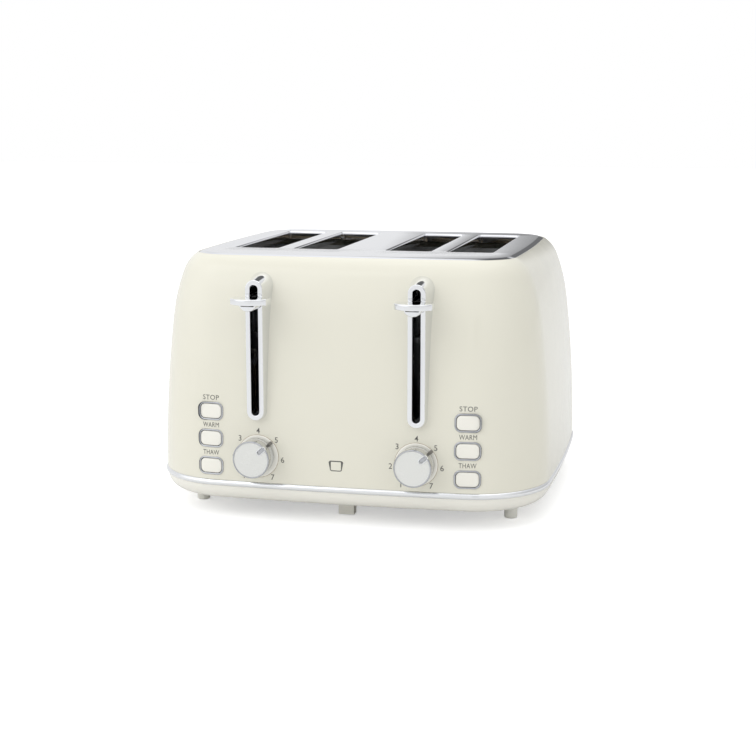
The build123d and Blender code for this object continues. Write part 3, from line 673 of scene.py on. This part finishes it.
def make_handle(side, sign):
    """Lever handle: a flat bar with a bowed front over a round-bottomed boss."""
    bm = bmesh.new()
    low, high, half, back, shoulder, tip = 166.8, 171.4, 14.4, -149.5, -159.5, -167.6
    sag = shoulder - tip
    radius = (half**2 + sag**2) / (2 * sag)
    spread = 2 * asin(half / radius)
    start = bm.verts.new((-half, shoulder, low))
    bmesh.ops.spin(bm, geom=[start], cent=(0, tip + radius, 0), axis=(0, 0, 1), angle=spread, steps=22)
    left, right = sorted((v for v in bm.verts if abs(v.co.y - shoulder) < 0.01), key=lambda v: v.co.x)
    corner_l, corner_r = bm.verts.new((-half, back, low)), bm.verts.new((half, back, low))
    for pair in ((left, corner_l), (corner_l, corner_r), (corner_r, right)):
        bm.edges.new(pair)
    bar = cap(bm, bm.edges[:])
    lifted = bmesh.ops.extrude_face_region(bm, geom=bar)
    bmesh.ops.translate(bm, vec=(0, 0, high - low), verts=new_verts(lifted))
    bevel(bm, [e for e in bm.edges if is_post(e, half)], 2.0, 5)
    bevel(bm, [e for e in bm.edges if is_rim(e)], 0.7, 4)
    make_boss(bm, low, back)
    bmesh.ops.translate(bm, vec=(sign * LEVER_X, 0, 0), verts=bm.verts)
    name = f"lever_bar_{side}"
    settle(as_mesh(bm, name), name, CHROME, f"carriage_{side}", "bright_chrome", f"lever_handle_{side}")


def is_post(edge, half):
    """Whether an edge stands upright at an end of the bar."""
    a, b = (v.co for v in edge.verts)
    return abs(a.z - b.z) > 1 and abs(abs(a.x) - half) < 0.1


def is_rim(edge):
    """Whether a level edge lies between a flat face and the bar's wall."""
    a, b = (v.co for v in edge.verts)
    if abs(a.z - b.z) >= 0.01 or len(edge.link_faces) != 2:
        return False
    return 0.5 < sum(abs(f.normal.z) for f in edge.link_faces) < 1.5


def make_boss(bm, low, back):
    """The round-bottomed block under the bar, sunk a little into it."""
    radius, height, front, sunk = 7.0, low + 2.0, -163.4, 0.6
    spread = 2 * acos((height - low - sunk) / radius)
    start = bm.verts.new((-radius * sin(spread / 2), back + 0.2, height - radius * cos(spread / 2)))
    bmesh.ops.spin(bm, geom=[start], cent=(0, 0, height), axis=(0, -1, 0), angle=spread, steps=20)
    profile = cap(bm, list(loop_verts(start)))
    lifted = new_verts(bmesh.ops.extrude_face_region(bm, geom=profile))
    bmesh.ops.translate(bm, vec=(0, front - back, 0), verts=lifted)
    edges = {e for v in lifted for e in v.link_edges}
    bevel(bm, [e for e in edges if all(v in lifted for v in e.verts)], 1.6, 5)


# ---- dials and buttons --------------------------------------------------------------------------
NUMBER_STEP = radians(48.0)     # between two numbers of the scale; 4 is at the top
POINTER = NUMBER_STEP           # the dials rest at 5
FACE_Y = -160.2


def make_plinth(side, sign):
    """The raised seat behind a dial, and a fine dark bronze ring laid over its edge as painted shade."""
    centre = (sign * SEAT_X, SEAT_Z)
    bm = bmesh.new()
    edges = outline(bm, centre, (0, 0), 16.9, -142.0, segments=96)
    steps = [on_shell(16.9, -0.1), on_shell(16.5, 0.0), on_shell(16.2, 0.15), on_shell(15.8, 0.7)]
    steps += [on_shell(15.5, 0.85), on_shell(15.1, 0.9), on_shell(14.0, 0.9), on_shell(5.2, 0.9)]
    steps += [(5.2, -139.5)]
    loft(bm, edges, centre, (0, 0), steps)
    name = f"dial_seat_{side}"
    settle(as_mesh(bm, name), name, CREAM_PLASTIC, "housing", "cream_plastic", f"dial_plinth_{side}")

    # painted shade: a fine dark bronze ring over the seat's edge, where the edge falls into shadow
    bm = bmesh.new()
    edges = outline(bm, centre, (0, 0), 15.85, -143.0, segments=96)
    steps = [on_shell(16.3, -0.1), on_shell(16.38, 0.2), on_shell(16.2, 0.42), on_shell(15.95, 0.42)]
    steps += [on_shell(15.85, 0.2)]
    loft(bm, edges, centre, (0, 0), steps)
    name = f"dial_edge_shade_{side}"
    settle(as_mesh(bm, name), name, SEAT_EDGE_SHADE, "housing", "cream_plastic")


def spun(profile, centre, segments=96):
    """Turn a profile of (radius, y) about the dial's own axis."""
    bm = bmesh.new()
    chain = [bm.verts.new((centre[0] + radius, y, centre[1])) for radius, y in profile]
    links = [bm.edges.new(pair) for pair in zip(chain, chain[1:])]
    bmesh.ops.spin(bm, geom=chain + links, cent=(centre[0], 0, centre[1]), axis=(0, 1, 0), angle=2 * pi,
                   steps=segments, use_merge=True)
    bmesh.ops.remove_doubles(bm, verts=bm.verts, dist=0.01)
    return bm


SLEEVE_BORE, SLEEVE_BACK, LIP_BACK = 12.6, -145.35, -159.4
SLEEVE = (
    (SLEEVE_BORE, SLEEVE_BACK), (13.2, SLEEVE_BACK), (13.5, -145.5), (13.6, -145.9), (13.62, -146.9),
    (13.45, -147.2), (13.45, -147.6), (13.75, -151.5), (14.0, -155.5), (14.15, LIP_BACK),
    (SLEEVE_BORE, LIP_BACK), (SLEEVE_BORE, SLEEVE_BACK),
)
LIP = (
    (12.65, LIP_BACK), (14.15, LIP_BACK), (14.12, -159.9), (13.95, -160.35), (13.65, -160.6),
    (13.35, -160.62), (13.1, -160.5), (12.95, -160.2), (12.9, -159.6), (12.65, LIP_BACK),
)
FACE_R = 12.95
NOTCH, NOTCH_HALF = (0, 10.6), (0, 2.0)     # the pointer's groove, before the dial is turned
TAB, TAB_HALF = (0, 14.6), (0.35, 0.8)      # the pointer's dark root on the sleeve


def notched_face():
    """The knob's front: a disc with a groove sunk in it for the pointer."""
    bm = bmesh.new()
    rim = outline(bm, (0, 0), (0, 0), FACE_R, FACE_Y, segments=96)
    notch = outline(bm, NOTCH, NOTCH_HALF, 1.45, FACE_Y, segments=24)
    bmesh.ops.triangle_fill(bm, use_beauty=True, use_dissolve=False, edges=rim + notch, normal=(0, -1, 0))
    cap(bm, loft(bm, notch, NOTCH, NOTCH_HALF, [(1.4, FACE_Y + 0.15), (1.35, FACE_Y + 0.9)]))
    cap(bm, loft(bm, rim, (0, 0), (0, 0), [(FACE_R, FACE_Y + 1.4)]))
    return bm


def pointer_rim():
    """A thin bead round the groove."""
    bm = bmesh.new()
    edges = outline(bm, NOTCH, NOTCH_HALF, 1.42, FACE_Y + 0.5, segments=24)
    bead = [(1.45, FACE_Y - 0.1), (1.6, FACE_Y - 0.3), (1.85, FACE_Y - 0.36), (2.1, FACE_Y - 0.28)]
    loft(bm, edges, NOTCH, NOTCH_HALF, bead + [(2.2, FACE_Y + 0.2)])
    return bm


def pointer_inlay():
    """The grey strip on the groove's floor."""
    bm = bmesh.new()
    strip = [(1.3, FACE_Y + 0.6), (1.1, FACE_Y + 0.5)]
    closed_loft(bm, NOTCH, NOTCH_HALF, 1.3, FACE_Y + 1.0, strip, segments=24)
    return bm


def pointer_root():
    """The dark tab at the sleeve's foot, in line with the pointer."""
    bm = bmesh.new()
    tab = [(0.95, -146.6), (0.8, -146.95), (0.5, -147.05)]
    closed_loft(bm, TAB, TAB_HALF, 0.9, -145.45, tab, segments=16)
    return bm


def make_knob(side, sign):
    """Dial: sleeve and lip turned round the spindle, then the face and its pointer turned to the setting."""
    centre, body = (sign * DIAL_X, DIAL_Z), f"dial_{side}"
    name = f"knob_sleeve_{side}"
    mesh = as_mesh(spun(SLEEVE, centre), name)
    settle(mesh, name, KNOB_CHROME, body, "bright_chrome", f"knob_ring_{side}")
    name = f"knob_lip_{side}"
    settle(as_mesh(spun(LIP, centre), name), name, DULL_CHROME, body, "bright_chrome")
    turn = Matrix.Translation((centre[0], 0, centre[1])) @ Matrix.Rotation(POINTER, 4, "Y")
    for label, shape, material, slot, replaced in (
        ("knob_face", notched_face, KNOB_FACE, "knob_plastic", [f"knob_{side}"]),
        ("pointer_rim", pointer_rim, CHROME, "bright_chrome", []),
        ("pointer_inlay", pointer_inlay, DULL_CHROME, "bright_chrome", []),
        ("pointer_root", pointer_root, POINTER_MARK, "black_plastic", []),
    ):
        bm = shape()
        bmesh.ops.transform(bm, matrix=turn, verts=bm.verts)
        name = f"{label}_{side}"
        settle(as_mesh(bm, name), name, material, body, slot, *replaced)


def make_buttons():
    """Six crowned caps, and their surrounds as one piece."""
    rings = bmesh.new()
    surround = [on_shell(5.0, 0.35), on_shell(4.92, 0.6), on_shell(4.7, 0.78), on_shell(4.35, 0.85)]
    surround += [on_shell(4.0, 0.78), on_shell(3.78, 0.6), on_shell(3.7, 0.3), on_shell(3.7, -1.2)]
    surround += [(3.72, -139.5)]
    crown = [on_shell(3.6, 0.15), on_shell(3.55, 0.35), on_shell(3.35, 0.55), on_shell(3.0, 0.68)]
    crown += [on_shell(2.2, 0.76), on_shell(1.2, 0.8)]
    cap_core = tuple(half - 0.2 for half in BUTTON_CORE)
    for side, sign in SIDES:
        for name, z in zip(BUTTON_NAMES, BUTTON_Z):
            centre = (sign * BUTTON_X, z)
            edges = outline(rings, centre, BUTTON_CORE, 4.95, -141.0, segments=40)
            loft(rings, edges, centre, BUTTON_CORE, surround)
            bm = bmesh.new()
            closed_loft(bm, centre, cap_core, 3.55, -137.5, crown, segments=40)
            key = f"button_{name}_{side}"
            mesh = as_mesh(bm, f"{key}_cap")
            settle(mesh, f"{key}_cap", CREAM_PLASTIC, key, "cream_plastic", key)
    mesh = as_mesh(rings, "button_surrounds")
    settle(mesh, "button_surrounds", DULL_CHROME, "housing", "bright_chrome", "button_rings")


def make_springs():
    """Coil round the outer guide rod of each side, built at its full length; nothing here presses it as the
    carriage comes down.
    """
    low, high, wire, radius, turns = 30.5, 137.2, 0.5, 4.6, 18
    steps = turns * 20
    for side, sign in SIDES:
        bm = bmesh.new()
        x = sign * SPRING_X
        place = Matrix.Translation((x + radius, SPRING_Y, low)) @ Matrix.Rotation(pi / 2, 4, "X")
        made = bmesh.ops.create_circle(bm, cap_ends=False, segments=8, radius=wire, matrix=place)
        ring = made["verts"]
        geom = ring + list({e for v in ring for e in v.link_edges})
        bmesh.ops.spin(bm, geom=geom, cent=(x, SPRING_Y, 0), axis=(0, 0, 1),
                       dvec=(0, 0, (high - low) / steps), angle=2 * pi * turns, steps=steps)
        name = f"coil_spring_{side}"
        mesh = as_mesh(bm, name)
        spring = settle(mesh, name, SPRING_STEEL, "housing", "spring_steel", f"return_spring_{side}")
        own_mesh(spring)


# ---- markings -----------------------------------------------------------------------------------
def text_mesh(name, words, height, weight):
    """Flat lettering as a mesh, centred on the origin in x and z, facing -y, in millimetres."""
    curve = bpy.data.curves.new(name, "FONT")
    curve.body = words
    curve.size = height
    curve.align_x, curve.align_y = "CENTER", "CENTER"
    curve.space_character = 1.06
    curve.resolution_u = 4
    curve.offset = weight
    holder = bpy.data.objects.new(name, curve)
    bpy.context.scene.collection.objects.link(holder)
    bpy.context.view_layer.update()
    mesh = bpy.data.meshes.new_from_object(holder.evaluated_get(bpy.context.evaluated_depsgraph_get()))
    bpy.data.objects.remove(holder)
    mesh.transform(Matrix.Rotation(pi / 2, 4, "X"))
    return mesh


def print_on_shell(name, bm, film=0.06, sunk=-0.02, longest=1.2):
    """Lay a flat marking, drawn in XZ at its place, on the shell's front as thick as a print film."""
    bmesh.ops.remove_doubles(bm, verts=bm.verts, dist=0.001)
    long_edges = [e for e in bm.edges if e.calc_length() > longest]
    bmesh.ops.subdivide_edges(bm, edges=long_edges, cuts=3)
    bmesh.ops.triangulate(bm, faces=bm.faces)
    lifted = set(new_verts(bmesh.ops.extrude_face_region(bm, geom=bm.faces[:])))
    for v in bm.verts:
        v.co.y = shell_y(v.co.x, v.co.z, film if v in lifted else sunk)
    settle(as_mesh(bm, name), name, PRINT, "housing", "black_plastic", crease=0)


def print_words(name, words, height, x, z, width=None, weight=-0.005):
    """Print words round a point, drawn out to a width if one is given; weight thickens the strokes."""
    bm = bmesh.new()
    bm.from_mesh(text_mesh(name, words, height, weight))
    xs, zs = [v.co.x for v in bm.verts], [v.co.z for v in bm.verts]
    fit = width / (max(xs) - min(xs)) if width else 1.0
    middle = Vector(((max(xs) + min(xs)) / 2, 0, (max(zs) + min(zs)) / 2))
    bmesh.ops.translate(bm, vec=-middle, verts=bm.verts)
    bmesh.ops.scale(bm, vec=(fit, 1, 1), verts=bm.verts)
    bmesh.ops.translate(bm, vec=(x, 0, z), verts=bm.verts)
    print_on_shell(name, bm)


def make_markings():
    label_rise, label_height, label_width = 10.3, 5.2, 13.0
    number_r, number_height, number_weight = 19.3, 6.0, 0.01
    for side, sign in SIDES:
        for button, z in zip(BUTTON_NAMES, BUTTON_Z):
            name, x = f"label_{button}_{side}", sign * BUTTON_X
            print_words(name, button.upper(), label_height, x, z + label_rise, label_width)
        for number in range(1, 8):
            angle = NUMBER_STEP * (number - 4)
            x, z = sign * SEAT_X + number_r * sin(angle), SEAT_Z + number_r * cos(angle)
            name = f"dial_number_{number}_{side}"
            print_words(name, str(number), number_height, x, z, weight=number_weight)
    make_slice()


def make_slice():
    """A small outline of a slice, a little wider at the top."""
    bm = bmesh.new()
    centre, core = (0, 46.2), (3.0, 2.4)
    crust = outline(bm, centre, core, 1.6, 0.0)
    for v in {v for e in crust for v in e.verts}:
        if v.co.z > centre[1] + 1.4:
            v.co.x *= 1.22
    loft(bm, crust, centre, core, [(0.9, 0.0)])
    print_on_shell("slice_pictogram", bm)


# ---- floor, light and camera --------------------------------------------------------------------
# The studio as directions from the object: (towards, full within degrees, gone at degrees, amount)
WALL_LOW, WALL_HIGH = 0.86, 1.00
FLOOR_REACH, FLOOR_LIFT = 6.0, 0.46
WINDOWS = (
    ((-1.0, -0.75, 0.55), 16, 42, 0.45),
    ((0.1, 0.3, 1.0), 14, 50, 0.25),
)
FLAGS = (
    ((-0.03, 0.99, 0.16), 4, 11, 0.80),
    ((-0.05, 0.83, 0.54), 10, 14, 0.85),
    ((0.24, -0.95, 0.16), 3, 7, 0.75),
    ((1.0, 0.55, 0.15), 25, 65, 0.30),
)


def towards(tree, direction, way, inner, outer):
    """1 where a direction lies within an angle of a given one, falling to 0 at a wider angle."""
    dot = tree.nodes.new("ShaderNodeVectorMath")
    dot.operation = "DOT_PRODUCT"
    tree.links.new(direction, dot.inputs[0])
    dot.inputs[1].default_value = Vector(way).normalized()
    return ramp(tree, dot.outputs["Value"], cos(radians(outer)), cos(radians(inner)))


def make_world():
    """White studio for the camera; light and reflections come from pale walls with windows and dark flags."""
    world = bpy.data.worlds.new("studio")
    world.use_nodes = True
    tree = world.node_tree
    tree.nodes.clear()
    out = tree.nodes.new("ShaderNodeOutputWorld")
    direction = tree.nodes.new("ShaderNodeTexCoord").outputs["Generated"]
    level = ramp(tree, towards(tree, direction, (0, 0, 1), 0, 90), 0.0, 1.0, WALL_LOW, WALL_HIGH)
    for way, inner, outer, gain in WINDOWS:
        mask = towards(tree, direction, way, inner, outer)
        level = math_node(tree, "ADD", level, math_node(tree, "MULTIPLY", mask, gain))
    for way, inner, outer, depth in FLAGS:
        mask = towards(tree, direction, way, inner, outer)
        level = math_node(tree, "MULTIPLY", level, ramp(tree, mask, 0.0, 1.0, 1.0, 1.0 - depth))
    room = add(tree, "ShaderNodeBackground", Color=(0.985, 0.99, 1.0, 1))
    tree.links.new(level, room.inputs["Strength"])
    sweep = add(tree, "ShaderNodeBackground", Strength=1.0, Color=(1, 1, 1, 1))
    seen = tree.nodes.new("ShaderNodeLightPath").outputs["Is Camera Ray"]
    mix = tree.nodes.new("ShaderNodeMixShader")
    tree.links.new(seen, mix.inputs[0])
    tree.links.new(room.outputs[0], mix.inputs[1])
    tree.links.new(sweep.outputs[0], mix.inputs[2])
    tree.links.new(mix.outputs[0], out.inputs["Surface"])
    bpy.context.scene.world = world


def softbox(name, place, target, size, power):
    """A rectangular area light aimed at a point."""
    light = bpy.data.lights.new(name, "AREA")
    light.shape = "RECTANGLE"
    light.size, light.size_y = size
    light.energy = power
    obj = bpy.data.objects.new(name, light)
    obj.location = place
    obj.rotation_euler = (Vector(target) - Vector(place)).to_track_quat("-Z", "Y").to_euler()
    bpy.context.scene.collection.objects.link(obj)


def make_floor():
    """A white sweep that takes the shadow; it looks brighter to the camera than it lights the object."""
    bm = bmesh.new()
    bmesh.ops.create_grid(bm, x_segments=1, y_segments=1, size=FLOOR_REACH)
    mesh = bpy.data.meshes.new("floor")
    bm.to_mesh(mesh)
    bm.free()
    floor = bpy.data.objects.new("floor", mesh)
    material = finish(
        "studio floor", (0.84, 0.84, 0.84), (0.82, 0.82, 0.82),
        (2.0, 0.3), (0.6, 0.7), (60.0, 0.0), Emission_Color=(1, 1, 1, 1), Specular_IOR_Level=0.1)
    tree = material.node_tree
    seen = tree.nodes.new("ShaderNodeLightPath").outputs["Is Camera Ray"]
    lift = math_node(tree, "MULTIPLY", seen, FLOOR_LIFT)
    tree.links.new(lift, tree.nodes["Principled BSDF"].inputs["Emission Strength"])
    mesh.materials.append(material)
    bpy.context.scene.collection.objects.link(floor)


def make_camera():
    turned, tipped = 13.056, 10.442     # degrees round to the right, and down
    data = bpy.data.cameras.new("camera")
    data.sensor_width = 36.0
    data.lens = 71.55
    data.clip_start = 0.05
    camera = bpy.data.objects.new("camera", data)
    camera.location = (0.27529, -1.19338, 0.31242)
    camera.rotation_euler = (radians(90 - tipped), 0, radians(turned))
    bpy.context.scene.collection.objects.link(camera)
    bpy.context.scene.camera = camera


make_camera()
make_world()
make_floor()
softbox("key", (-1.1, -1.3, 1.6), (0, 0, 0.1), (1.6, 1.2), 3.4)
softbox("top", (0.1, 0.3, 1.8), (0, 0, 0.1), (1.8, 1.4), 3.4)
bpy.context.scene.view_settings.view_transform = "Standard"
dress_nodes()
make_shell()
make_trim_ring()
make_top_plate()
for side, sign in SIDES:
    make_bezel(side, sign)
    make_handle(side, sign)
    make_plinth(side, sign)
    make_knob(side, sign)
make_buttons()
make_springs()
make_markings()
